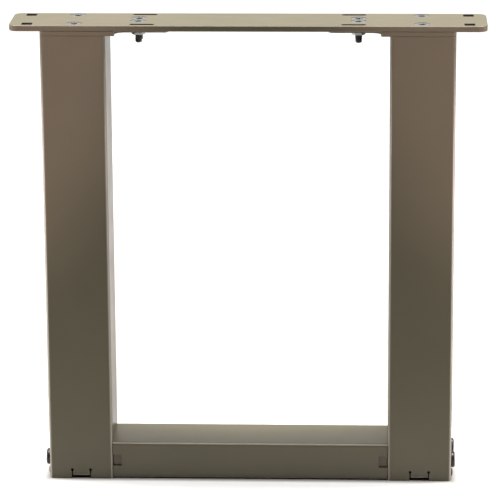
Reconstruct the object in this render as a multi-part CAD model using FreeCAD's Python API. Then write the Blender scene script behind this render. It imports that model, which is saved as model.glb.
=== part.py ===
import FreeCAD, Part
import math
import os

# U shaped steel table leg: a top plate, two square tube legs with a head plate each, and a bar
# between the feet, all bolted together.
# Sizes are in millimetres. X runs along the top plate, Y from front to back, and Z up from the floor.
# The origin is on the floor, midway between the legs and between front and back.

# Overall sizes
plate_length = 400.0
overall_height = 400.0
frame_depth = 55.0
plate_overhang = 26.0

# Top plate
plate_thickness = 5.0
plate_corner_radius = 7.5
plate_edge_chamfer = 0.5
end_hole_side = 9.0
end_hole_corner_radius = 1.0
end_hole_from_end = 15.0
end_hole_from_face = 8.0
slot_length = 21.0
slot_width = 5.0
slot_from_face = 6.0
slot_from_tongue_screw = 4.0

# Head plates
flange_thickness = 4.0
flange_overhang = 7.8
flange_corner_radius = 1.5
flange_edge_chamfer = 0.4
tongue_reach = 44.4
tongue_width = 24.0
tongue_root_radius = 8.0
tongue_tip_radius = 4.5

# Legs
leg_width = 55.0
leg_wall = 2.0
leg_bend_radius = 1.0

# Foot tabs, bent in from the front and back walls of each leg
tab_width = 15.0
tab_lift = 1.8
tab_bend_radius = 1.5
tab_reach = 14.0
slit_width = 0.9
slit_above_bend = 2.5
slit_relief_diameter = 2.4

# Bottom bar and the brackets in its ends
bar_height = 32.0
bar_lift = 0.8
bar_setback = 0.8
bar_wall = 2.0
bar_bend_radius = 0.5
bar_notch_length = 7.5
bar_notch_height = 10.4
bar_end_reach = 24.0
bar_end_thickness = 1.5
bar_end_bend_radius = 0.5
bar_end_clearance = 0.1

# Fasteners
thread_diameter = 6.0
hole_clearance = 0.2
thread_clearance = 0.05
point_chamfer = 0.7
nut_flats = 10.0
nut_height = 4.2
socket_flats = 4.0
socket_depth = 2.2

# Countersunk screws of the top plate
screw_head_diameter = 13.4
screw_head_rim = 0.3
screw_head_sink = 0.15
screw_projection = 4.8
leg_screw_from_face = 9.5
leg_screw_from_outer = 28.5
tongue_screw_from_flange = 18.7
tongue_screw_spacing = 12.0

# Pan head bolts of the bottom bar
bolt_head_diameter = 14.0
bolt_head_height = 3.2
bolt_head_chamfer = 1.0
bolt_projection = 4.3
bolt_from_face = 10.0

# Hole plugs near the foot of each leg
plug_head_diameter = 7.0
plug_head_height = 1.6
plug_stem_diameter = 4.4
plug_collar_diameter = 5.4
plug_collar_length = 2.5
plug_below_bolt = 1.4

# Places that follow from the sizes above
half_depth = frame_depth / 2
leg_outer_x = plate_length / 2 - plate_overhang
leg_inner_x = leg_outer_x - leg_width
leg_centre_x = leg_outer_x - leg_width / 2
leg_screw_x = leg_outer_x - leg_screw_from_outer
leg_corner_radius = leg_bend_radius + leg_wall
plate_bottom_z = overall_height - plate_thickness
leg_top_z = plate_bottom_z - flange_thickness
flange_inner_x = leg_inner_x - flange_overhang
tongue_tip_x = flange_inner_x - tongue_reach
tongue_screw_x = flange_inner_x - tongue_screw_from_flange
slot_x = tongue_screw_x - slot_from_tongue_screw
leg_screw_y = half_depth - leg_screw_from_face
tongue_screw_y = tongue_screw_spacing / 2
bar_half_depth = half_depth - bar_setback
bar_corner_radius = bar_bend_radius + bar_wall
bolt_y = half_depth - bolt_from_face
bolt_z = bar_lift + bar_height / 2
bar_end_x = leg_inner_x - bar_end_thickness
plug_z = bolt_z - bolt_head_diameter / 2 - plug_below_bolt - plug_head_diameter / 2
tab_bend_z = tab_lift + leg_wall + tab_bend_radius
slit_top_z = tab_bend_z + slit_above_bend
thread_radius = thread_diameter / 2
screw_length = plate_thickness + flange_thickness + nut_height + screw_projection
bolt_length = leg_width + bar_end_thickness + nut_height + bolt_projection

UP = FreeCAD.Vector(0, 0, 1)
ALONG_X = FreeCAD.Vector(1, 0, 0)
ALONG_Y = FreeCAD.Vector(0, 1, 0)
ORIGIN = FreeCAD.Vector(0, 0, 0)
BOTH_SIDES = (-1, 1)


def block(x_range, y_range, z_range):
    """A box between two values on each axis."""
    low = FreeCAD.Vector(x_range[0], y_range[0], z_range[0])
    return Part.makeBox(x_range[1] - x_range[0], y_range[1] - y_range[0], z_range[1] - z_range[0], low)


def edges_along(shape, direction):
    """The straight edges of a shape that run along a direction."""
    found = []
    for edge in shape.Edges:
        run = edge.Vertexes[-1].Point - edge.Vertexes[0].Point
        if run.Length > 0 and run.cross(direction).Length < 1e-6 * run.Length:
            found.append(edge)
    return found


def edges_at_height(shape, height):
    """The edges of a shape that lie flat at one height."""
    return [edge for edge in shape.Edges
            if abs(edge.BoundBox.ZMin - height) < 1e-6 and abs(edge.BoundBox.ZMax - height) < 1e-6]


def rounded_block(x_range, y_range, z_range, radius, direction=UP):
    """A box whose four edges along one direction are rounded."""
    solid = block(x_range, y_range, z_range)
    return solid.makeFillet(radius, edges_along(solid, direction))


def bent_block(x_range, y_range, z_range, radius):
    """A box whose two upright edges at its right end are rounded."""
    solid = block(x_range, y_range, z_range)
    bends = [edge for edge in edges_along(solid, UP) if abs(edge.Vertexes[0].X - x_range[1]) < 1e-6]
    return solid.makeFillet(radius, bends)


def around(centre, half):
    """The range of values within a distance of a centre."""
    return (centre - half, centre + half)


def turned(points):
    """A solid of revolution about Z, from the (radius, height) corners of its profile."""
    corners = [FreeCAD.Vector(radius, 0, height) for radius, height in points]
    face = Part.Face(Part.makePolygon(corners + corners[:1]))
    return face.revolve(ORIGIN, UP, 360)


def hexagon(flats, low, high):
    """A hexagonal prism about Z, with flats that face front and back."""
    corner = flats / math.sqrt(3)
    ring = []
    for step in range(7):
        angle = math.radians(60 * step)
        ring.append(FreeCAD.Vector(corner * math.cos(angle), corner * math.sin(angle), low))
    return Part.Face(Part.makePolygon(ring)).extrude(UP * (high - low))


def mirrored(shape, side):
    """The shape itself for the right side, or its mirror image for the left side."""
    if side > 0:
        return shape
    return shape.mirror(ORIGIN, ALONG_X)


def front_and_back(shape):
    """A shape on the front side together with its mirror image on the back."""
    return [shape, shape.mirror(ORIGIN, ALONG_Y)]


def screw_places():
    """The axis of every countersunk screw on the right side, as (x, y)."""
    over_leg = [(leg_screw_x, side * leg_screw_y) for side in BOTH_SIDES]
    on_tongue = [(tongue_screw_x, side * tongue_screw_y) for side in BOTH_SIDES]
    return over_leg + on_tongue


def clearance_hole(x, y, low, high):
    """An upright cylinder that a screw passes through freely."""
    base = FreeCAD.Vector(x, y, low)
    return Part.makeCylinder(thread_radius + hole_clearance, high - low, base)


def cross_hole(y, z, radius, x_range):
    """A cylinder along X, for a hole in the side walls of the leg or the bar."""
    base = FreeCAD.Vector(x_range[0], y, z)
    return Part.makeCylinder(radius, x_range[1] - x_range[0], base, ALONG_X)


def countersink(x, y):
    """The recess in the top face that a screw head seats in."""
    head_radius = screw_head_diameter / 2
    rim_z = -screw_head_sink - screw_head_rim
    recess = turned([
        (0, 0),
        (head_radius, 0),
        (head_radius, rim_z),
        (thread_radius, rim_z - (head_radius - thread_radius)),
        (0, rim_z - (head_radius - thread_radius)),
    ])
    return recess.translated(FreeCAD.Vector(x, y, overall_height))


def slot(x, y):
    """A slot along X with round ends, cut through the top plate."""
    end_x = (slot_length - slot_width) / 2
    middle = block(around(x, end_x), around(y, slot_width / 2), (plate_bottom_z, overall_height))
    ends = []
    for side in BOTH_SIDES:
        base = FreeCAD.Vector(x + side * end_x, y, plate_bottom_z)
        ends.append(Part.makeCylinder(slot_width / 2, plate_thickness, base))
    return middle.fuse(ends).removeSplitter()


def top_plate():
    """The flat bar under the table top."""
    plate = rounded_block(
        around(0, plate_length / 2), around(0, half_depth),
        (plate_bottom_z, overall_height), plate_corner_radius)
    rims = edges_at_height(plate, overall_height) + edges_at_height(plate, plate_bottom_z)
    plate = plate.makeChamfer(plate_edge_chamfer, rims)
    cuts = []
    end_hole_x = plate_length / 2 - end_hole_from_end
    end_hole_y = half_depth - end_hole_from_face
    slot_y = half_depth - slot_from_face
    for side_x in BOTH_SIDES:
        for side_y in BOTH_SIDES:
            cuts.append(rounded_block(
                around(side_x * end_hole_x, end_hole_side / 2),
                around(side_y * end_hole_y, end_hole_side / 2),
                (plate_bottom_z, overall_height), end_hole_corner_radius))
            cuts.append(slot(side_x * slot_x, side_y * slot_y))
        for x, y in screw_places():
            cuts.append(clearance_hole(side_x * x, y, plate_bottom_z, overall_height))
            cuts.append(countersink(side_x * x, y))
    return plate.cut(cuts)


def head_plate():
    """The right head plate: a flange over the leg, narrowing to a tongue along the top plate."""
    z_range = (leg_top_z, plate_bottom_z)
    flange = block((flange_inner_x, leg_outer_x), around(0, half_depth), z_range)
    tongue = block((tongue_tip_x, flange_inner_x), around(0, tongue_width / 2), z_range)
    plate = flange.fuse(tongue).removeSplitter()
    rounding = (
        (leg_outer_x, half_depth, leg_corner_radius),
        (flange_inner_x, half_depth, flange_corner_radius),
        (flange_inner_x, tongue_width / 2, tongue_root_radius),
        (tongue_tip_x, tongue_width / 2, tongue_tip_radius),
    )
    for x, y, radius in rounding:
        corners = [edge for edge in edges_along(plate, UP)
                   if abs(edge.Vertexes[0].X - x) < 1e-6 and abs(abs(edge.Vertexes[0].Y) - y) < 1e-6]
        plate = plate.makeFillet(radius, corners)
    plate = plate.makeChamfer(flange_edge_chamfer, edges_at_height(plate, leg_top_z))
    cuts = []
    for x, y in screw_places():
        cuts.append(clearance_hole(x, y, leg_top_z, plate_bottom_z))
        cuts.append(countersink(x, y))
    return plate.cut(cuts)


def foot_tab():
    """The tab at the front of the right foot: down the wall, round the bend and in over the floor."""
    wall_out = -half_depth
    wall_in = wall_out + leg_wall
    bend_y = wall_in + tab_bend_radius
    outer_bend = tab_bend_radius + leg_wall
    end_y = wall_out + tab_reach
    low_x = leg_centre_x - tab_width / 2

    def point(y, z):
        return FreeCAD.Vector(low_x, y, z)

    def bend(radius, start, end):
        middle = point(bend_y - radius * math.sqrt(0.5), tab_bend_z - radius * math.sqrt(0.5))
        return Part.Arc(start, middle, end).toShape()

    upper = tab_lift + leg_wall
    edges = [
        Part.makeLine(point(wall_out, slit_top_z), point(wall_out, tab_bend_z)),
        bend(outer_bend, point(wall_out, tab_bend_z), point(bend_y, tab_lift)),
        Part.makeLine(point(bend_y, tab_lift), point(end_y, tab_lift)),
        Part.makeLine(point(end_y, tab_lift), point(end_y, upper)),
        Part.makeLine(point(end_y, upper), point(bend_y, upper)),
        bend(tab_bend_radius, point(bend_y, upper), point(wall_in, tab_bend_z)),
        Part.makeLine(point(wall_in, tab_bend_z), point(wall_in, slit_top_z)),
        Part.makeLine(point(wall_in, slit_top_z), point(wall_out, slit_top_z)),
    ]
    return Part.Face(Part.Wire(edges)).extrude(ALONG_X * tab_width)


def foot_opening():
    """The part of the front wall of the right foot that the tab and its slits take up."""
    wall = (-half_depth, -half_depth + leg_wall)
    return block(around(leg_centre_x, tab_width / 2 + slit_width), wall, (0, slit_top_z))


def slit_reliefs():
    """The round holes that end the two slits at the front of the right foot."""
    holes = []
    for side in BOTH_SIDES:
        slit_x = leg_centre_x + side * (tab_width + slit_width) / 2
        base = FreeCAD.Vector(slit_x, -half_depth, slit_top_z)
        holes.append(Part.makeCylinder(slit_relief_diameter / 2, leg_wall, base, ALONG_Y))
    return holes


def leg():
    """The right leg: an upright square tube with two foot tabs."""
    outside = rounded_block(
        (leg_inner_x, leg_outer_x), around(0, half_depth), (0, leg_top_z), leg_corner_radius)
    inside = rounded_block(
        (leg_inner_x + leg_wall, leg_outer_x - leg_wall), around(0, half_depth - leg_wall),
        (0, leg_top_z), leg_bend_radius)
    tube = outside.cut([inside] + front_and_back(foot_opening()))
    tube = tube.fuse(front_and_back(foot_tab())).removeSplitter()
    holes = []
    for relief in slit_reliefs():
        holes += front_and_back(relief)
    for side in BOTH_SIDES:
        holes.append(cross_hole(
            side * bolt_y, bolt_z, thread_radius + hole_clearance, (leg_inner_x, leg_outer_x)))
        holes.append(cross_hole(
            side * bolt_y, plug_z, plug_stem_diameter / 2 + hole_clearance,
            (leg_outer_x - leg_wall, leg_outer_x)))
    return tube.cut(holes)


def bottom_bar():
    """The rectangular tube between the legs, with a notch at each end that shows the bracket inside."""
    bar_z = (bar_lift, bar_lift + bar_height)
    outside = rounded_block(
        around(0, leg_inner_x), around(0, bar_half_depth), bar_z, bar_corner_radius, ALONG_X)
    inside = rounded_block(
        around(0, leg_inner_x), around(0, bar_half_depth - bar_wall),
        (bar_z[0] + bar_wall, bar_z[1] - bar_wall), bar_bend_radius, ALONG_X)
    cuts = [inside]
    for side in BOTH_SIDES:
        notch_x = around(side * (leg_inner_x - bar_notch_length / 2), bar_notch_length / 2)
        cuts.append(block(notch_x, around(0, bar_half_depth), around(bolt_z, bar_notch_height / 2)))
    return outside.cut(cuts)


def bar_end():
    """The bracket in the right end of the bar: a web that the bolts clamp to the leg, and two flanges."""
    half_width = bar_half_depth - bar_wall - bar_end_clearance
    half_height = bar_height / 2 - bar_corner_radius
    back_x = leg_inner_x - bar_end_reach
    outside = bent_block((back_x, leg_inner_x), around(0, half_width), around(bolt_z, half_height),
                         bar_end_bend_radius + bar_end_thickness)
    inside = bent_block((back_x, bar_end_x), around(0, half_width - bar_end_thickness),
                        around(bolt_z, half_height), bar_end_bend_radius)
    holes = [
        cross_hole(side * bolt_y, bolt_z, thread_radius + hole_clearance, (bar_end_x, leg_inner_x))
        for side in BOTH_SIDES]
    return outside.cut([inside] + holes)


def screw():
    """A countersunk socket screw, with the flat of its head at height 0."""
    head_radius = screw_head_diameter / 2
    shoulder_z = -screw_head_rim - (head_radius - thread_radius)
    solid = turned([
        (0, 0),
        (head_radius, 0),
        (head_radius, -screw_head_rim),
        (thread_radius, shoulder_z),
        (thread_radius, point_chamfer - screw_length),
        (thread_radius - point_chamfer, -screw_length),
        (0, -screw_length),
    ])
    return solid.cut(hexagon(socket_flats, -socket_depth, 0))


def nut():
    """A hexagon nut, standing on height 0."""
    bore = Part.makeCylinder(thread_radius + thread_clearance, nut_height)
    return hexagon(nut_flats, 0, nut_height).cut(bore)


def pan_bolt():
    """A pan head socket bolt, with the underside of its head at height 0."""
    head_radius = bolt_head_diameter / 2
    solid = turned([
        (0, bolt_head_height),
        (head_radius - bolt_head_chamfer, bolt_head_height),
        (head_radius, bolt_head_height - bolt_head_chamfer),
        (head_radius, 0),
        (thread_radius, 0),
        (thread_radius, point_chamfer - bolt_length),
        (thread_radius - point_chamfer, -bolt_length),
        (0, -bolt_length),
    ])
    return solid.cut(hexagon(socket_flats, bolt_head_height - socket_depth, bolt_head_height))


def hole_plug():
    """A domed plug with a snap collar, with the underside of its head at height 0."""
    head_radius = plug_head_diameter / 2
    stem_radius = plug_stem_diameter / 2
    collar_radius = plug_collar_diameter / 2
    return turned([
        (0, plug_head_height),
        (head_radius * math.cos(math.radians(60)), plug_head_height * math.sin(math.radians(60))),
        (head_radius, 0),
        (stem_radius, 0),
        (stem_radius, -leg_wall),
        (collar_radius, -leg_wall),
        (stem_radius, -leg_wall - plug_collar_length),
        (0, -leg_wall - plug_collar_length),
    ])


def pair_upright(shape, x, y, z):
    """Two upright fasteners, front and back, as separate solids."""
    return Part.makeCompound([shape.translated(FreeCAD.Vector(x, side * y, z)) for side in BOTH_SIDES])


def pair_across(shape, x, y, z):
    """Two fasteners, front and back, turned so that their heads face the right."""
    lying = shape.copy()
    lying.rotate(ORIGIN, ALONG_Y, 90)
    return pair_upright(lying, x, y, z)


def right_side():
    """Every piece that the right side has and the left side mirrors."""
    screw_z = overall_height - screw_head_sink
    nut_z = leg_top_z - nut_height
    return {
        "head_plate": head_plate(),
        "leg": leg(),
        "bar_end": bar_end(),
        "leg_screws": pair_upright(screw(), leg_screw_x, leg_screw_y, screw_z),
        "leg_nuts": pair_upright(nut(), leg_screw_x, leg_screw_y, nut_z),
        "tongue_screws": pair_upright(screw(), tongue_screw_x, tongue_screw_y, screw_z),
        "tongue_nuts": pair_upright(nut(), tongue_screw_x, tongue_screw_y, nut_z),
        "bar_bolts": pair_across(pan_bolt(), leg_outer_x, bolt_y, bolt_z),
        "bar_nuts": pair_across(nut(), bar_end_x - nut_height, bolt_y, bolt_z),
        "hole_plugs": pair_across(hole_plug(), leg_outer_x, bolt_y, plug_z),
    }


def all_pieces():
    """Every piece by its name."""
    pieces = {"top_plate": top_plate(), "bottom_bar": bottom_bar()}
    for name, shape in right_side().items():
        pieces["left_" + name] = mirrored(shape, -1)
        pieces["right_" + name] = mirrored(shape, 1)
    return pieces


os.makedirs("parts", exist_ok=True)
for piece_name, piece in all_pieces().items():
    piece.exportStep("parts/" + piece_name + ".step")
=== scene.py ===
"""A U shaped steel table leg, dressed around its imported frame.

The plates and tubes get a powder coat, turned fasteners stand in for the plain ones,
and a studio is set up round the whole.
"""
import logging
import math
from dataclasses import dataclass
from enum import Enum
from typing import Any, ClassVar, Iterable

import bmesh
import bpy
from mathutils import Euler, Matrix, Vector


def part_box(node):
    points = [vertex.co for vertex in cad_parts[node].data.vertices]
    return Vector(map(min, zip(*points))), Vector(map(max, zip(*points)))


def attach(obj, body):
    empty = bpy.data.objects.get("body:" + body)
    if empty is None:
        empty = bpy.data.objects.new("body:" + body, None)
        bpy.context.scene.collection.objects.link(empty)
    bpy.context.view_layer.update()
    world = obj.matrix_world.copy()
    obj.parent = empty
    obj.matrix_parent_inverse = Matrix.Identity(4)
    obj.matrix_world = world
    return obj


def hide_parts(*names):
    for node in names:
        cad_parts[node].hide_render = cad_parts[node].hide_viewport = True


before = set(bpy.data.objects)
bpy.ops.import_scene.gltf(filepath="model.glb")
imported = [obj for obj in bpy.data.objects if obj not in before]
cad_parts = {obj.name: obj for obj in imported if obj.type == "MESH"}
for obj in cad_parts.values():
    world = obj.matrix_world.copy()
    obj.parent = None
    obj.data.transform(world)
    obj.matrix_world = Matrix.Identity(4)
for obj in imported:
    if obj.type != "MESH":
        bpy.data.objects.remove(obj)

LOG = logging.getLogger("table_leg")
BODY = "root"
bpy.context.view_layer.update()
MM = 0.001

Colour = tuple[float, float, float]
Place = tuple[float, float, float]
Span = tuple[float, float]
Socket = bpy.types.NodeSocket

WHITE: Colour = (1.0, 1.0, 1.0)


class Side(Enum):
    """The two ends of the frame, seen from the front."""

    LEFT = -1
    RIGHT = 1

    def node(self, piece: str) -> str:
        """The name of a piece's node on this side."""
        return f"{self.name.lower()}_{piece}"

    def mirrored(self, place: Place) -> Place:
        """A place given for the right side, brought to this side."""
        return (self.value * place[0], place[1], place[2])


class Heading(Enum):
    """Which way the head of a fastener faces, as a turn of an upright one."""

    UP = (0.0, 0.0, 0.0)
    RIGHT = (0.0, math.pi / 2, 0.0)
    LEFT = (0.0, -math.pi / 2, 0.0)

    def turn(self) -> Matrix:
        """The rotation that brings an upright fastener to this heading."""
        return Euler(self.value).to_matrix().to_4x4()

    @classmethod
    def outward(cls, side: Side) -> "Heading":
        """The heading away from the middle of the frame."""
        return cls.RIGHT if side is Side.RIGHT else cls.LEFT


class ShaderTree:
    """The node tree of one material, written step by step."""

    # Noise hardly leaves this range
    NOISE_SPAN: ClassVar[Span] = (0.3, 0.7)
    SHELTER_SAMPLES: ClassVar[int] = 8
    # The colour sockets of a Mix node, whose names repeat for each type of value
    MIX_FACTOR: ClassVar[int] = 0
    MIX_FIRST: ClassVar[int] = 6
    MIX_SECOND: ClassVar[int] = 7
    MIX_RESULT: ClassVar[int] = 2

    def __init__(self, name: str) -> None:
        """Starts a material with a bare surface shader.

        Args:
            name: The material's name.
        """
        self.material = bpy.data.materials.new(name)
        self.material.use_nodes = True
        self.tree = self.material.node_tree
        self.surface = self.tree.nodes["Principled BSDF"]
        self.coordinates = self.add("ShaderNodeTexCoord")
        self.place = self.coordinates.outputs["Object"]

    def add(self, kind: str, **settings: Any) -> bpy.types.Node:
        """Adds a node.

        Args:
            kind: The node's type.
            settings: Properties to set on it.

        Returns:
            The new node.
        """
        node = self.tree.nodes.new(kind)
        for key, value in settings.items():
            setattr(node, key, value)
        return node

    def join(self, source: Socket, target: Socket) -> None:
        """Links an output to an input."""
        self.tree.links.new(source, target)

    def constants(self, **values: Any) -> None:
        """Sets values that are the same all over the surface, with _ for a space in a socket's name."""
        for key, value in values.items():
            self.surface.inputs[key.replace("_", " ")].default_value = value

    def finish(self, **inputs: Socket) -> bpy.types.Material:
        """Joins patterns to the surface shader, with _ for a space in a socket's name.

        Args:
            inputs: An output for each socket.

        Returns:
            The finished material.
        """
        for key, value in inputs.items():
            self.join(value, self.surface.inputs[key.replace("_", " ")])
        return self.material

    def noise(self, grain_mm: float, detail: float = 2.0) -> Socket:
        """Soft noise in the piece's own coordinates.

        Args:
            grain_mm: The rough size of one blotch.
            detail: How many finer layers it has.

        Returns:
            The noise value, around a half.
        """
        noise = self.add("ShaderNodeTexNoise")
        noise.inputs["Scale"].default_value = 1.0 / (grain_mm * MM)
        noise.inputs["Detail"].default_value = detail
        self.join(self.place, noise.inputs["Vector"])
        return noise.outputs["Fac"]

    def split(self, vector: Socket) -> bpy.types.bpy_prop_collection:
        """Splits a vector.

        Args:
            vector: The vector to split.

        Returns:
            Its X, Y and Z.
        """
        split = self.add("ShaderNodeSeparateXYZ")
        self.join(vector, split.inputs["Vector"])
        return split.outputs

    def along(self, axis: str) -> Socket:
        """The place along one axis, in metres."""
        return self.split(self.place)[axis]

    def beyond(self, half: Place) -> Socket:
        """The distance to a box round the origin, in metres.

        Args:
            half: Half the size of the box.

        Returns:
            The distance, 0 inside the box.
        """
        vector = self.place
        for operation, other in (("ABSOLUTE", None), ("SUBTRACT", half), ("MAXIMUM", (0.0, 0.0, 0.0))):
            node = self.add("ShaderNodeVectorMath", operation=operation)
            self.join(vector, node.inputs[0])
            if other is not None:
                node.inputs[1].default_value = other
            vector = node.outputs["Vector"]
        length = self.add("ShaderNodeVectorMath", operation="LENGTH")
        self.join(vector, length.inputs[0])
        return length.outputs["Value"]

    def rounding(self) -> Socket:
        """How square to an axis the surface is.

        Returns:
            1 on a flat side, and 0.7 midway round a rounded edge.
        """
        facing = self.add("ShaderNodeVectorMath", operation="ABSOLUTE")
        self.join(self.coordinates.outputs["Normal"], facing.inputs[0])
        return self.largest(*self.split(facing.outputs["Vector"]))

    def shelter(self, reach_mm: float) -> Socket:
        """How open the surface lies to its own piece: 1 outside and less in a hole or a slit.

        Args:
            reach_mm: How far off a wall still counts.

        Returns:
            The open share.
        """
        cover = self.add("ShaderNodeAmbientOcclusion", only_local=True, samples=self.SHELTER_SAMPLES)
        cover.inputs["Distance"].default_value = reach_mm * MM
        return cover.outputs["AO"]

    def radius(self) -> Socket:
        """The distance to a fastener's own axis, in millimetres."""
        return self.add("ShaderNodeAttribute", attribute_name=Turning.RADIUS).outputs["Fac"]

    def rings(self, spacing_mm: float) -> Socket:
        """Turning marks round each fastener's own axis.

        Args:
            spacing_mm: The distance from one mark to the next.

        Returns:
            A wave from -1 to 1.
        """
        return self.combine("SINE", self.combine("MULTIPLY", self.radius(), 2 * math.pi / spacing_mm))

    def combine(self, operation: str, *values: Socket | float) -> Socket:
        """Works out one value from others.

        Args:
            operation: What to do with them.
            values: Outputs or plain numbers.

        Returns:
            The result.
        """
        node = self.add("ShaderNodeMath", operation=operation)
        for value, target in zip(values, node.inputs):
            if isinstance(value, Socket):
                self.join(value, target)
            else:
                target.default_value = value
        return node.outputs["Value"]

    def largest(self, first: Socket, *others: Socket) -> Socket:
        """Picks the largest of several values.

        Args:
            first: The first value.
            others: The values after it.

        Returns:
            The largest of them at each place.
        """
        for other in others:
            first = self.combine("MAXIMUM", first, other)
        return first

    def spread(self, value: Socket, results: Span, limits: Span = NOISE_SPAN) -> Socket:
        """Maps a value between two others.

        Args:
            value: What drives it.
            results: The result at each limit, held beyond it.
            limits: The values that give those results.

        Returns:
            The mapped value.
        """
        ranged = self.add("ShaderNodeMapRange")
        for socket, number in zip(("From Min", "From Max", "To Min", "To Max"), (*limits, *results)):
            ranged.inputs[socket].default_value = number
        self.join(value, ranged.inputs["Value"])
        return ranged.outputs["Result"]

    def profile(self, value: Socket, stops: tuple[Span, ...]) -> Socket:
        """Bends a value along straight pieces.

        Args:
            value: What drives it, from -1 to 1.
            stops: Each value with its result.

        Returns:
            The bent value.
        """
        ramp = self.add("ShaderNodeValToRGB")
        elements = ramp.color_ramp.elements
        while len(elements) < len(stops):
            elements.new(1.0)
        for element, (place, result) in zip(elements, stops):
            element.position = (place + 1) / 2
            element.color = (result, result, result, 1.0)
        self.join(self.spread(value, (0.0, 1.0), (-1.0, 1.0)), ramp.inputs["Fac"])
        return ramp.outputs["Color"]

    def tint(self, factor: Socket, low: Colour, high: Colour) -> Socket:
        """Blends two colours by a noise.

        Args:
            factor: The noise.
            low: The colour at its low end.
            high: The colour at its high end.

        Returns:
            The blended colour.
        """
        ramp = self.add("ShaderNodeValToRGB")
        for element, place, colour in zip(ramp.color_ramp.elements, self.NOISE_SPAN, (low, high)):
            element.position = place
            element.color = (*colour, 1.0)
        self.join(factor, ramp.inputs["Fac"])
        return ramp.outputs["Color"]

    def scaled(self, colour: Socket, factor: Socket) -> Socket:
        """Multiplies a colour.

        Args:
            colour: The colour to change.
            factor: What multiplies it.

        Returns:
            The changed colour.
        """
        scale = self.add("ShaderNodeVectorMath", operation="SCALE")
        self.join(colour, scale.inputs[0])
        self.join(factor, scale.inputs["Scale"])
        return scale.outputs["Vector"]

    def speckle(self, colour: Socket, factor: Socket, amount: float) -> Socket:
        """Lightens and darkens a colour a little.

        Args:
            colour: The colour to change.
            factor: The pattern.
            amount: The share by which it changes either way.

        Returns:
            The changed colour.
        """
        return self.scaled(colour, self.spread(factor, (1.0 - amount, 1.0 + amount)))

    def blend(self, factor: Socket, colour: Socket, other: Colour) -> Socket:
        """Blends a pattern's colour towards a plain one.

        Args:
            factor: How far, from 0 to 1.
            colour: The pattern's colour.
            other: The plain colour.

        Returns:
            The blended colour.
        """
        mix = self.add("ShaderNodeMix", data_type="RGBA")
        mix.inputs[self.MIX_SECOND].default_value = (*other, 1.0)
        self.join(factor, mix.inputs[self.MIX_FACTOR])
        self.join(colour, mix.inputs[self.MIX_FIRST])
        return mix.outputs[self.MIX_RESULT]

    def bump(self, height: Socket, depth_mm: float, below: Socket | None = None) -> Socket:
        """Raises the surface by a pattern.

        Args:
            height: The pattern.
            depth_mm: How deep it is.
            below: A bump that this one lies on.

        Returns:
            The bumped normal.
        """
        bump = self.add("ShaderNodeBump")
        bump.inputs["Strength"].default_value = 1.0
        bump.inputs["Distance"].default_value = depth_mm * MM
        self.join(height, bump.inputs["Height"])
        if below is not None:
            self.join(below, bump.inputs["Normal"])
        return bump.outputs["Normal"]


@dataclass(frozen=True)
class PowderCoat:
    """Satin powder coat in a warm grey brown, with a fine orange peel, painted highlights on its rounded
    edges and painted shade in its holes.
    """

    slot: str = "powder_coat"
    shade: Colour = (0.079, 0.0695, 0.039)
    light: Colour = (0.089, 0.0775, 0.0445)
    cloud_mm: float = 90.0
    grain_mm: float = 0.35
    grain_depth_mm: float = 0.002
    grain_contrast: float = 0.05
    peel_mm: float = 1.6
    peel_depth_mm: float = 0.008
    # Painted highlight: the pale cream that rounded edges of the legs, bar and bends are blended towards
    edge: Colour = (0.30, 0.27, 0.225)
    highlight_rounding: Span = (0.76, 0.97)
    highlight_fade: Span = (0.30, 0.375)
    # Painted shade in holes: the darkest share of the colour, and how far the occlusion looks
    hole_painted_shade: float = 0.08
    hole_roughness: float = 0.9
    hole_reach_mm: float = 14.0
    hole_shelter: Span = (0.65, 0.95)
    gloss_mm: float = 25.0
    roughness: Span = (0.30, 0.36)
    specular_level: float = 0.4
    refraction: float = 1.5

    def material(self) -> bpy.types.Material:
        """Writes the material's nodes.

        Returns:
            The material, named after its slot.
        """
        tree = ShaderTree(self.slot)
        tree.constants(Specular_IOR_Level=self.specular_level, IOR=self.refraction)
        grain = tree.noise(self.grain_mm, detail=1.0)
        peel = tree.noise(self.peel_mm, detail=1.0)
        clouded = tree.tint(tree.noise(self.cloud_mm, detail=3.0), self.shade, self.light)
        colour = tree.speckle(clouded, grain, self.grain_contrast)
        # Painted highlight: rounded edges below 0.30 m take the pale edge colour, which fades out by
        # 0.375 m under the top plate
        corner = tree.spread(tree.rounding(), (1.0, 0.0), self.highlight_rounding)
        highlight_height_mask = tree.spread(tree.along("Z"), (1.0, 0.0), self.highlight_fade)
        edged = tree.blend(tree.combine("MULTIPLY", corner, highlight_height_mask), colour, self.edge)
        # Painted shade: the base colour darkens where ambient occlusion finds holes, slits and crevices,
        # which also turn rougher
        shadow = tree.spread(tree.shelter(self.hole_reach_mm), (self.hole_painted_shade, 1.0), self.hole_shelter)
        satin = tree.spread(tree.noise(self.gloss_mm, detail=3.0), self.roughness)
        dull = tree.spread(shadow, (self.hole_roughness, self.roughness[0]), (0.0, 1.0))
        return tree.finish(
            Base_Color=tree.scaled(edged, shadow),
            Roughness=tree.largest(satin, dull),
            Normal=tree.bump(grain, self.grain_depth_mm, tree.bump(peel, self.peel_depth_mm)))


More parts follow.
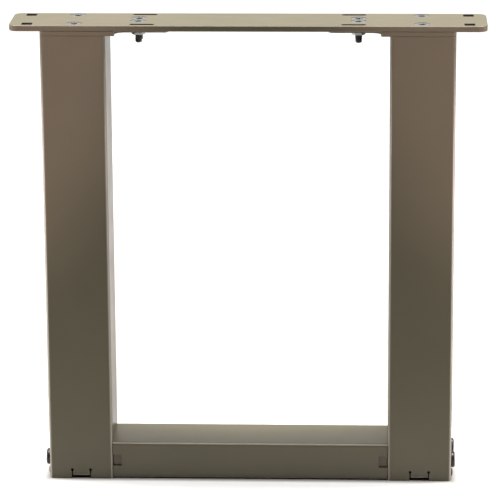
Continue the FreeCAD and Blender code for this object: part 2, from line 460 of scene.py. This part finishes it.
@dataclass(frozen=True)
class ZincPlate:
    """Bright zinc on turned steel, with a faint blue and straw cast, and painted shade in threads and
    sockets.
    """

    slot: str = "zinc"
    cool: Colour = (0.37, 0.385, 0.40)
    straw: Colour = (0.46, 0.45, 0.42)
    cast_mm: float = 5.0
    dull_mm: float = 1.2
    dull_depth_mm: float = 0.004
    roughness: Span = (0.18, 0.34)
    ring_mm: float = 0.45
    ring_depth_mm: float = 0.002
    # Painted shade near the axis: its darkest share, and the radii over which it fades out
    thread_painted_shade: float = 0.15
    thread_fade_mm: Span = (2.9, 3.4)

    def material(self) -> bpy.types.Material:
        """Writes the material's nodes.

        Returns:
            The material, named after its slot.
        """
        tree = ShaderTree(self.slot)
        tree.constants(Metallic=1.0)
        dull = tree.noise(self.dull_mm, detail=3.0)
        plated = tree.tint(tree.noise(self.cast_mm), self.cool, self.straw)
        # Painted shade: the colour darkens close to the axis, in the thread roots and the sockets
        socket_thread_shade = tree.spread(tree.radius(), (self.thread_painted_shade, 1.0), self.thread_fade_mm)
        turned = tree.bump(tree.rings(self.ring_mm), self.ring_depth_mm)
        return tree.finish(
            Base_Color=tree.scaled(plated, socket_thread_shade),
            Roughness=tree.spread(dull, self.roughness),
            Normal=tree.bump(dull, self.dull_depth_mm, turned))


@dataclass(frozen=True)
class BlackSteel:
    """Blackened steel, dark with a soft metal gloss."""

    slot: str = "black_steel"
    dark: Colour = (0.018, 0.018, 0.020)
    worn: Colour = (0.045, 0.043, 0.041)
    metal_share: float = 0.6
    mottle_mm: float = 2.2
    mottle_depth_mm: float = 0.006
    gloss_mm: float = 0.9
    roughness: Span = (0.28, 0.42)
    ring_mm: float = 0.5
    ring_depth_mm: float = 0.002

    def material(self) -> bpy.types.Material:
        """Writes the material's nodes.

        Returns:
            The material, named after its slot.
        """
        tree = ShaderTree(self.slot)
        tree.constants(Metallic=self.metal_share)
        mottle = tree.noise(self.mottle_mm, detail=4.0)
        turned = tree.bump(tree.rings(self.ring_mm), self.ring_depth_mm)
        return tree.finish(
            Base_Color=tree.tint(mottle, self.dark, self.worn),
            Roughness=tree.spread(tree.noise(self.gloss_mm), self.roughness),
            Normal=tree.bump(mottle, self.mottle_depth_mm, turned))


@dataclass(frozen=True)
class BlackPlastic:
    """Moulded matt black plastic with a spark eroded grain."""

    slot: str = "black_plastic"
    dark: Colour = (0.012, 0.012, 0.013)
    dusty: Colour = (0.026, 0.025, 0.024)
    dust_mm: float = 3.0
    grain_mm: float = 0.3
    grain_depth_mm: float = 0.012
    roughness: Span = (0.45, 0.62)

    def material(self) -> bpy.types.Material:
        """Writes the material's nodes.

        Returns:
            The material, named after its slot.
        """
        tree = ShaderTree(self.slot)
        grain = tree.noise(self.grain_mm)
        return tree.finish(
            Base_Color=tree.tint(tree.noise(self.dust_mm), self.dark, self.dusty),
            Roughness=tree.spread(grain, self.roughness),
            Normal=tree.bump(grain, self.grain_depth_mm))


Finish = PowderCoat | ZincPlate | BlackSteel | BlackPlastic


class Paintbox:
    """Every finish, with its material written once."""

    def __init__(self, finishes: Iterable[Finish]) -> None:
        """Writes the materials.

        Args:
            finishes: The finishes of the object.
        """
        self.materials = {finish.slot: finish.material() for finish in finishes}

    def dress(self, piece: bpy.types.Object, slot: str) -> None:
        """Gives a piece one finish all over.

        Args:
            piece: The object to dress.
            slot: The finish's slot in the record.
        """
        piece.data.materials.clear()
        piece.data.materials.append(self.materials[slot])


class Turning:
    """A solid grown ring by ring about Z, as on a lathe. Sizes are in millimetres."""

    RADIUS: ClassVar[str] = "axis_distance"
    SEGMENTS: ClassVar[int] = 48
    MERGE_DISTANCE: ClassVar[float] = 1e-5
    # The thread's outline, as shares of its pitch
    THREAD_DEPTH: ClassVar[float] = 0.61
    THREAD_HALF_ROOT: ClassVar[float] = 0.44
    THREAD_HALF_CREST: ClassVar[float] = 0.07
    THREAD_STEPS_PER_TURN: ClassVar[int] = 24

    def __init__(self) -> None:
        """Starts with nothing in the chuck."""
        self.bm = bmesh.new()
        self.rim: list[bmesh.types.BMEdge] = []

    def disc(self, radius: float, height: float) -> "Turning":
        """Starts with a round face.

        Args:
            radius: The face's radius.
            height: Where it lies.

        Returns:
            This turning.
        """
        bmesh.ops.create_circle(
            self.bm, cap_ends=False, radius=radius, segments=self.SEGMENTS,
            matrix=Matrix.Translation((0, 0, height)))
        self.rim = self.bm.edges[:]
        return self.close()

    def hexagon(self, flats: float, height: float) -> "Turning":
        """Starts with a six sided ring whose flats face front and back.

        Args:
            flats: The width across flats.
            height: Where it lies.

        Returns:
            This turning.
        """
        bmesh.ops.create_circle(
            self.bm, cap_ends=False, radius=flats / math.sqrt(3), segments=6,
            matrix=Matrix.Translation((0, 0, height)) @ Matrix.Rotation(math.pi / 2, 4, "Z"))
        bmesh.ops.subdivide_edges(self.bm, edges=self.bm.edges[:], cuts=self.SEGMENTS // 6 - 1)
        self.rim = self.bm.edges[:]
        return self

    def to(self, radius: float | None, height: float) -> "Turning":
        """Grows the rim to a new ring.

        Args:
            radius: The new ring's radius, or None to keep the outline as it is.
            height: Where the new ring lies.

        Returns:
            This turning.
        """
        grown = bmesh.ops.extrude_edge_only(self.bm, edges=self.rim)
        verts = [part for part in grown["geom"] if isinstance(part, bmesh.types.BMVert)]
        for vert in verts:
            flat = vert.co.xy if radius is None else vert.co.xy.normalized() * radius
            vert.co = (flat.x, flat.y, height)
        self.rim = [part for part in grown["geom"] if isinstance(part, bmesh.types.BMEdge)
                    and all(end in verts for end in part.verts)]
        return self

    def along(self, profile: Iterable[Span]) -> "Turning":
        """Grows the rim through several rings.

        Args:
            profile: The radius and height of each ring.

        Returns:
            This turning.
        """
        for radius, height in profile:
            self.to(radius, height)
        return self

    def close(self) -> "Turning":
        """Closes the rim with a face."""
        bmesh.ops.edgeloop_fill(self.bm, edges=self.rim)
        return self

    def thread(self, crest: float, pitch: float, low: float, high: float) -> "Turning":
        """Winds a thread round the axis.

        Args:
            crest: The radius of its crest.
            pitch: The rise of one turn.
            low: Where it starts.
            high: Where it ends.

        Returns:
            This turning.
        """
        root = crest - self.THREAD_DEPTH * pitch
        outline = (
            (root, -self.THREAD_HALF_ROOT), (crest, -self.THREAD_HALF_CREST),
            (crest, self.THREAD_HALF_CREST), (root, self.THREAD_HALF_ROOT))
        middle = low + pitch / 2
        corners = [self.bm.verts.new((radius, 0.0, middle + share * pitch)) for radius, share in outline]
        edges = [self.bm.edges.new((corners[step - 1], corners[step])) for step in range(len(corners))]
        turns = (high - low) / pitch - 1.0
        steps = round(turns * self.THREAD_STEPS_PER_TURN)
        spun = bmesh.ops.spin(
            self.bm, geom=corners + edges, cent=(0, 0, 0), axis=(0, 0, 1), angle=turns * 2 * math.pi,
            steps=steps, dvec=(0, 0, turns * pitch / steps), use_merge=False)
        last = [part for part in spun["geom_last"] if isinstance(part, bmesh.types.BMEdge)]
        for loop in (edges, last):
            bmesh.ops.edgeloop_fill(self.bm, edges=loop)
        return self

    def cut(self) -> bmesh.types.BMesh:
        """Takes the piece off the lathe.

        Returns:
            The closed solid, with its faces pointing outwards and each point's distance to the axis kept.
        """
        bmesh.ops.remove_doubles(self.bm, verts=self.bm.verts, dist=self.MERGE_DISTANCE)
        bmesh.ops.recalc_face_normals(self.bm, faces=self.bm.faces)
        layer = self.bm.verts.layers.float.new(self.RADIUS)
        for vert in self.bm.verts:
            vert[layer] = vert.co.xy.length
        return self.bm


@dataclass
class FastenerPair:
    """Two like fasteners, front and back, that stand for one node. Sizes are in millimetres."""

    node: str
    slot: str
    heading: Heading = Heading.UP
    SMOOTH_ANGLE: ClassVar[float] = math.radians(35)

    def __post_init__(self) -> None:
        """Reads the node's box from the frame."""
        low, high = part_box(self.node)
        self.low, self.high = low / MM, high / MM
        self.middle = (self.low + self.high) / 2

    def width(self) -> float:
        """The width of one fastener across its widest part, from the node's box."""
        size = self.high - self.low
        return size.x if self.heading is Heading.UP else size.z

    def length(self) -> float:
        """The length of one fastener along its axis, from the node's box."""
        size = self.high - self.low
        return size.z if self.heading is Heading.UP else size.x

    def depth(self) -> float:
        """How far one fastener reaches from front to back."""
        return self.width()

    def seat(self) -> Vector:
        """Finds where the top end of a fastener lies along its axis.

        Returns:
            That place, midway between the two fasteners.
        """
        seat = self.middle.copy()
        if self.heading is Heading.UP:
            seat.z = self.high.z
        else:
            seat.x = self.high.x if self.heading is Heading.RIGHT else self.low.x
        return seat

    def shape(self) -> Turning:
        """One upright fastener, with its top end at height 0."""
        raise NotImplementedError

    def build(self, paintbox: Paintbox) -> None:
        """Makes both fasteners as one piece, which rides on the frame in place of its node.

        Args:
            paintbox: The finishes.
        """
        reach = (self.high.y - self.low.y - self.depth()) / 2
        mesh = bpy.data.meshes.new(self.node + "_pair")
        joined = bmesh.new()
        for side in (-1, 1):
            single = self.shape().cut()
            place = Matrix.Translation(self.seat() + Vector((0, side * reach, 0))) @ self.heading.turn()
            bmesh.ops.transform(single, matrix=Matrix.Scale(MM, 4) @ place, verts=single.verts)
            single.to_mesh(mesh)
            single.free()
            joined.from_mesh(mesh)
        for face in joined.faces:
            face.smooth = True
        for edge in joined.edges:
            edge.smooth = len(edge.link_faces) == 2 and edge.calc_face_angle(0.0) < self.SMOOTH_ANGLE
        joined.to_mesh(mesh)
        joined.free()
        piece = bpy.data.objects.new(self.node + "_pair", mesh)
        bpy.context.scene.collection.objects.link(piece)
        paintbox.dress(piece, self.slot)
        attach(piece, BODY)
        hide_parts(self.node)
        LOG.info("%s: %d faces", piece.name, len(mesh.polygons))


@dataclass
class SocketPair(FastenerPair):
    """Fasteners with a hexagon socket in the head and a threaded shank."""

    pitch: float = 1.0
    shank: float = 6.0
    core: float = 4.8
    socket: float = 4.0
    socket_depth: float = 2.2
    socket_chamfer: float = 0.25
    socket_flare: float = 0.2
    runout: float = 0.6
    thread_overlap: float = 0.0
    thread_from_end: float = 0.15
    point: float = 0.5
    point_taper: float = 0.4

    def socketed(self) -> Turning:
        """Starts a head with its socket.

        Returns:
            The turning, grown to the socket's rim at height 0.
        """
        turning = Turning().hexagon(self.socket, -self.socket_depth).close()
        rim = self.socket / math.sqrt(3) + self.socket_flare
        return turning.to(None, -self.socket_chamfer).to(rim, 0.0)

    def threaded(self, head: Turning, shoulder: float) -> Turning:
        """Grows the shank from below a head to its end.

        Args:
            head: The head, grown to the top of the shank.
            shoulder: Where the plain part of the shank ends.

        Returns:
            The finished fastener.
        """
        crest, core, end = self.shank / 2, self.core / 2, -self.length()
        head.along((
            (crest, shoulder), (core, shoulder - self.runout),
            (core, end + self.point), (core - self.point_taper, end)))
        low, high = end + self.thread_from_end, shoulder + self.thread_overlap
        return head.close().thread(crest, self.pitch, low, high)


@dataclass
class CountersunkScrews(SocketPair):
    """Countersunk socket screws with a full thread."""

    slot: str = "zinc"
    rim: float = 0.3
    neck: float = 0.5
    runout: float = 0.4
    thread_overlap: float = 0.2
    # Steps out and down round the upper edge of the head, from its full width
    ROUND_EDGE: ClassVar[tuple[Span, ...]] = ((-0.25, 0.0), (-0.08, -0.05), (0.0, -0.16))

    def shape(self) -> Turning:
        """Turns one upright screw.

        Returns:
            The screw, with the flat of its head at height 0.
        """
        wide, narrow = self.width() / 2, self.shank / 2
        under = -self.rim - (wide - narrow)
        head = self.socketed().along((wide + out, down) for out, down in self.ROUND_EDGE)
        return self.threaded(head.along(((wide, -self.rim), (narrow, under))), under - self.neck)


@dataclass
class PanBolts(SocketPair):
    """Long socket bolts with a low round edged head."""

    slot: str = "black_steel"
    head_height: float = 3.2
    edge_radius: float = 1.5
    under_chamfer: float = 0.3
    thread_length: float = 24.0
    EDGE_DEGREES: ClassVar[range] = range(0, 91, 15)

    def shape(self) -> Turning:
        """Turns one upright bolt.

        Returns:
            The bolt, with the top of its head at height 0.
        """
        wide, under = self.width() / 2, -self.head_height
        head = self.socketed()
        for angle in map(math.radians, self.EDGE_DEGREES):
            inset, drop = 1 - math.sin(angle), 1 - math.cos(angle)
            head.to(wide - self.edge_radius * inset, -self.edge_radius * drop)
        head.along((
            (wide, under + self.under_chamfer), (wide - self.under_chamfer, under),
            (self.shank / 2, under)))
        return self.threaded(head, self.thread_length - self.length())


@dataclass
class HexagonNuts(FastenerPair):
    """Hexagon nuts with chamfered corners and a chamfered bore."""

    slot: str = "zinc"
    bore: float = 6.1
    bore_chamfer: float = 0.45
    # Where the corners' chamfer starts and the flat face ends, as shares of half the width across flats
    chamfer_share: float = 0.985
    face_share: float = 0.97
    CHAMFER_ANGLE: ClassVar[float] = math.radians(30)
    MERGE_DISTANCE: ClassVar[float] = 1e-4

    def depth(self) -> float:
        """The width across flats, which face front and back."""
        return self.width() * math.sqrt(3) / 2

    def shape(self) -> Turning:
        """Turns the upper half of one upright nut and mirrors it.

        Returns:
            The nut, with its upper face at height 0.
        """
        flat, bore, middle = self.depth() / 2, self.bore / 2, -self.length() / 2
        turning = Turning().hexagon(2 * flat, middle).to(None, 0.0)
        for vert in {end for edge in turning.rim for end in edge.verts}:
            past = max(0.0, vert.co.xy.length - flat * self.chamfer_share)
            vert.co.z -= past * math.tan(self.CHAMFER_ANGLE)
        turning.along((
            (flat * self.face_share, 0.0), (bore + self.bore_chamfer, 0.0),
            (bore, -self.bore_chamfer), (bore, middle)))
        half = turning.bm
        bmesh.ops.mirror(
            half, geom=half.verts[:] + half.edges[:] + half.faces[:],
            matrix=Matrix.Translation((0, 0, middle)), merge_dist=self.MERGE_DISTANCE, axis="Z")
        return turning


@dataclass
class HolePlugs(FastenerPair):
    """Domed plugs with a snap collar."""

    slot: str = "black_plastic"
    head_height: float = 1.6
    lip: float = 0.3
    lip_chamfer: float = 0.1
    stem: float = 4.4
    stem_length: float = 2.05
    collar: float = 5.4
    collar_rise: float = 0.2
    collar_length: float = 0.55
    collar_taper: float = 0.2
    tip_taper: float = 0.5
    crown_degrees: float = 8.0
    crown_drop: float = 0.01
    DOME_DEGREES: ClassVar[range] = range(18, 91, 12)

    def shape(self) -> Turning:
        """Turns one upright plug.

        Returns:
            The plug, with the top of its dome at height 0.
        """
        wide, stem, collar = self.width() / 2, self.stem / 2, self.collar / 2
        under = -self.head_height
        snap = under - self.stem_length - self.collar_rise
        turning = Turning().disc(wide * math.sin(math.radians(self.crown_degrees)), -self.crown_drop)
        for angle in map(math.radians, self.DOME_DEGREES):
            turning.to(wide * math.sin(angle), (under + self.lip) * (1 - math.cos(angle)))
        turning.along((
            (wide, under + self.lip_chamfer), (wide - self.lip_chamfer, under), (stem, under),
            (stem, under - self.stem_length), (collar, snap),
            (collar - self.collar_taper, snap - self.collar_length),
            (stem - self.tip_taper, -self.length())))
        return turning.close()


@dataclass
class TopJoint:
    """Where a leg's head plate is screwed to the top plate."""

    side: Side

    def build(self, paintbox: Paintbox) -> None:
        """Makes the screws and nuts over the leg and through the tongue.

        Args:
            paintbox: The finishes.
        """
        for place in ("leg", "tongue"):
            CountersunkScrews(self.side.node(f"{place}_screws")).build(paintbox)
            HexagonNuts(self.side.node(f"{place}_nuts")).build(paintbox)


@dataclass
class FootJoint:
    """Where the bottom bar is bolted to a leg."""

    side: Side

    def build(self, paintbox: Paintbox) -> None:
        """Makes the bolts, their nuts and the plugs below them.

        Args:
            paintbox: The finishes.
        """
        outward = Heading.outward(self.side)
        PanBolts(self.side.node("bar_bolts"), heading=outward).build(paintbox)
        HexagonNuts(self.side.node("bar_nuts"), heading=outward).build(paintbox)
        HolePlugs(self.side.node("hole_plugs"), heading=outward).build(paintbox)


@dataclass
class PaintedSteel:
    """The plates and tubes, which keep the shape that the frame gives them."""

    slot: str = "powder_coat"

    def nodes(self) -> list[str]:
        """The names of the painted nodes."""
        paired = [side.node(piece) for side in Side for piece in ("head_plate", "leg", "bar_end")]
        return ["top_plate", "bottom_bar", *paired]

    def dress(self, paintbox: Paintbox) -> None:
        """Paints each plate and tube.

        Args:
            paintbox: The finishes.
        """
        for name in self.nodes():
            paintbox.dress(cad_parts[name], self.slot)
            LOG.info("%s: painted", name)


@dataclass
class Floor:
    """A plain pale floor, which glows round the feet, behind them and far off. Sizes are in metres."""

    size: float = 24.0
    squares: int = 4
    shade: Colour = (0.33, 0.318, 0.305)
    light: Colour = (0.355, 0.342, 0.33)
    blotch_mm: float = 400.0
    roughness: float = 0.7
    foot_glow: float = 0.62
    near_glow: float = 0.52
    back_glow: float = 0.22
    far_glow: float = 0.60
    rim_glow: float = 0.5
    # Distances from the legs' box, where the glow round it changes its strength
    around_reach: tuple[float, ...] = (0.0005, 0.003, 0.025, 0.06, 0.11, 0.2)
    # Places behind the object, where the glow there changes its strength
    behind_reach: tuple[float, ...] = (0.05, 0.5, 1.0)
    # Distances from the legs' box, where the glow far off starts and is full
    rim_reach: Span = (1.0, 3.2)

    def footprint(self) -> Place:
        """Half the size of the box that the legs stand in."""
        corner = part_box(Side.RIGHT.node("leg"))[1]
        return (corner.x, corner.y, 0.0)

    def glow(self, tree: ShaderTree) -> Socket:
        """How much light the floor gives at each place.

        Args:
            tree: The floor's material.

        Returns:
            The strength of the glow.
        """
        # The glow is painted light: round the feet it lifts the shadow the object casts, inside the legs'
        # box it stays off, and behind and far off it brightens the floor
        away = tree.beyond(self.footprint())
        around = (0.0, self.foot_glow, self.foot_glow, self.near_glow, self.near_glow / 2, 0.0)
        behind = (0.0, self.back_glow, self.far_glow)
        return tree.largest(
            tree.profile(tree.along("Y"), tuple(zip(self.behind_reach, behind))),
            tree.profile(away, tuple(zip(self.around_reach, around))),
            tree.spread(away, (0.0, self.rim_glow), self.rim_reach))

    def build(self) -> None:
        """Lays the floor under the feet."""
        bm = bmesh.new()
        bmesh.ops.create_grid(bm, x_segments=self.squares, y_segments=self.squares, size=self.size / 2)
        mesh = bpy.data.meshes.new("floor")
        bm.to_mesh(mesh)
        bm.free()
        floor = bpy.data.objects.new("floor", mesh)
        bpy.context.scene.collection.objects.link(floor)
        tree = ShaderTree("floor")
        tree.constants(Roughness=self.roughness, Emission_Color=(*WHITE, 1.0))
        mesh.materials.append(tree.finish(
            Base_Color=tree.tint(tree.noise(self.blotch_mm), self.shade, self.light),
            Emission_Strength=self.glow(tree)))


@dataclass
class Sky:
    """Surroundings that are bright behind the object and dark in front of it."""

    high: float = 0.95
    low: float = 0.6
    front: float = 0.02
    rise: Span = (0.1, 0.4)
    turn: Span = (-0.6, 0.6)

    def build(self) -> None:
        """Makes the world, whose strength rises with height and from front to back."""
        world = bpy.data.worlds.new("studio")
        world.use_nodes = True
        bpy.context.scene.world = world
        nodes, links = world.node_tree.nodes, world.node_tree.links
        split = nodes.new("ShaderNodeSeparateXYZ")
        links.new(nodes.new("ShaderNodeTexCoord").outputs["Generated"], split.inputs["Vector"])
        upward, backward = nodes.new("ShaderNodeMapRange"), nodes.new("ShaderNodeMapRange")
        for ranged, axis, limits in ((upward, "Z", self.rise), (backward, "Y", self.turn)):
            ranged.inputs["From Min"].default_value = limits[0]
            ranged.inputs["From Max"].default_value = limits[1]
            links.new(split.outputs[axis], ranged.inputs["Value"])
        upward.inputs["To Min"].default_value = self.low
        upward.inputs["To Max"].default_value = self.high
        backward.inputs["To Min"].default_value = self.front
        links.new(upward.outputs["Result"], backward.inputs["To Max"])
        background = nodes["Background"]
        background.inputs["Color"].default_value = (*WHITE, 1.0)
        links.new(backward.outputs["Result"], background.inputs["Strength"])


@dataclass(frozen=True)
class Lamp:
    """A studio light. Sizes and places are in metres."""

    name: str
    place: Place
    target: Place
    power: float
    tint: Colour

    def facing(self) -> Vector:
        """The way from the light to what it is aimed at."""
        return Vector(self.target) - Vector(self.place)

    def light(self) -> bpy.types.Light:
        """Makes the light's source and returns it."""
        raise NotImplementedError

    def hang(self) -> None:
        """Puts the light in the studio, out of the camera's sight."""
        light = self.light()
        light.energy = self.power
        light.color = self.tint
        lamp = bpy.data.objects.new(self.name, light)
        lamp.location = self.place
        lamp.rotation_euler = self.facing().to_track_quat("-Z", "Y").to_euler()
        lamp.visible_camera = False
        bpy.context.scene.collection.objects.link(lamp)


@dataclass(frozen=True)
class Softbox(Lamp):
    """A rectangular light."""

    size: Span

    def light(self) -> bpy.types.Light:
        """Makes the light's source.

        Returns:
            The source, without its power and tint.
        """
        light = bpy.data.lights.new(self.name, "AREA")
        light.shape = "RECTANGLE"
        light.size, light.size_y = self.size
        return light


@dataclass(frozen=True)
class Spotlight(Lamp):
    """A light with a round soft edged beam."""

    beam_radius: float
    softness: float = 0.12
    bulb_radius: float = 0.04

    def light(self) -> bpy.types.Light:
        """Makes the light's source.

        Returns:
            The source, without its power and tint.
        """
        light = bpy.data.lights.new(self.name, "SPOT")
        light.spot_size = 2 * math.atan2(self.beam_radius, self.facing().length)
        light.spot_blend = self.softness
        light.shadow_soft_size = self.bulb_radius
        return light


@dataclass
class LightRig:
    """The lights round the object, with the places of those on the right. Places are in metres."""

    key_place: Place = (0.0, 0.185, 2.2)
    key_target: Place = (0.0, 0.185, 0.0)
    key_size: Span = (2.6, 0.30)
    key_power: float = 158.0
    key_tint: Colour = (1.0, 0.955, 0.92)
    line_place: Place = (0.1, -0.5, 1.5)
    line_target: Place = (0.0, 0.0, 0.05)
    line_size: Span = (1.0, 0.06)
    line_power: float = 7.0
    strip_place: Place = (0.5, -0.065, 0.16)
    strip_target: Place = (0.0, -0.065, 0.16)
    strip_size: Span = (0.07, 0.3)
    strip_power: float = 1.2
    corner_place: Place = (0.9, -1.5, 0.9)
    corner_target: Place = (0.392, 0.0, 0.448)
    corner_beam: float = 0.295
    corner_power: float = 128.0
    corner_tint: Colour = (1.0, 0.72, 0.92)

    def overhead(self) -> list[Lamp]:
        """The lights above the object.

        Returns:
            A long soft box over it and a thin line of light in front of it.
        """
        key = Softbox(
            "key", self.key_place, self.key_target, self.key_power, self.key_tint, self.key_size)
        line = Softbox(
            "line", self.line_place, self.line_target, self.line_power, self.key_tint, self.line_size)
        return [key, line]

    def beside(self, side: Side) -> list[Lamp]:
        """A low strip beside a leg and a tinted spot on the top corner over it.

        Args:
            side: The leg's side.

        Returns:
            The two lights.
        """
        name = side.name.lower()
        strip = Softbox(
            f"strip_{name}", side.mirrored(self.strip_place), side.mirrored(self.strip_target),
            self.strip_power, WHITE, self.strip_size)
        corner = Spotlight(
            f"corner_{name}", side.mirrored(self.corner_place), side.mirrored(self.corner_target),
            self.corner_power, self.corner_tint, self.corner_beam)
        return [strip, corner]

    def build(self) -> None:
        """Hangs every light."""
        for lamp in self.overhead() + self.beside(Side.LEFT) + self.beside(Side.RIGHT):
            lamp.hang()
            LOG.info("%s: hung", lamp.name)


@dataclass
class Viewpoint:
    """The camera: nearly in front, a little to the right and above the object."""

    azimuth: float = 2.4
    elevation: float = 15.5
    roll: float = -0.35
    distance: float = 2.6
    target: Place = (0.0, 0.0, 0.199)
    pixels_per_metre: float = 1165.0
    image_pixels: int = 500
    sensor: float = 36.0
    sight: float = 100.0

    def build(self) -> None:
        """Makes the camera, which shows colours as they are."""
        data = bpy.data.cameras.new("camera")
        data.sensor_width = self.sensor
        data.lens = self.sensor * self.distance * self.pixels_per_metre / self.image_pixels
        data.clip_end = self.sight
        camera = bpy.data.objects.new("camera", data)
        turn, rise, roll = (math.radians(angle) for angle in (self.azimuth, self.elevation, self.roll))
        level = math.cos(rise)
        back = Vector((math.sin(turn) * level, -math.cos(turn) * level, math.sin(rise)))
        camera.location = Vector(self.target) + back * self.distance
        facing = (-back).to_track_quat("-Z", "Y").to_matrix() @ Matrix.Rotation(roll, 3, "Z")
        camera.rotation_euler = facing.to_euler()
        bpy.context.scene.collection.objects.link(camera)
        bpy.context.scene.camera = camera
        bpy.context.scene.view_settings.view_transform = "Standard"


def main() -> None:
    """Dresses the frame, adds the fasteners and sets up the studio."""
    logging.basicConfig(level=logging.INFO, format="%(name)s: %(message)s")
    paintbox = Paintbox((PowderCoat(), ZincPlate(), BlackSteel(), BlackPlastic()))
    PaintedSteel().dress(paintbox)
    for side in Side:
        TopJoint(side).build(paintbox)
        FootJoint(side).build(paintbox)
    for surrounding in (Floor(), Sky(), LightRig(), Viewpoint()):
        surrounding.build()


if __name__ == "__main__":
    main()
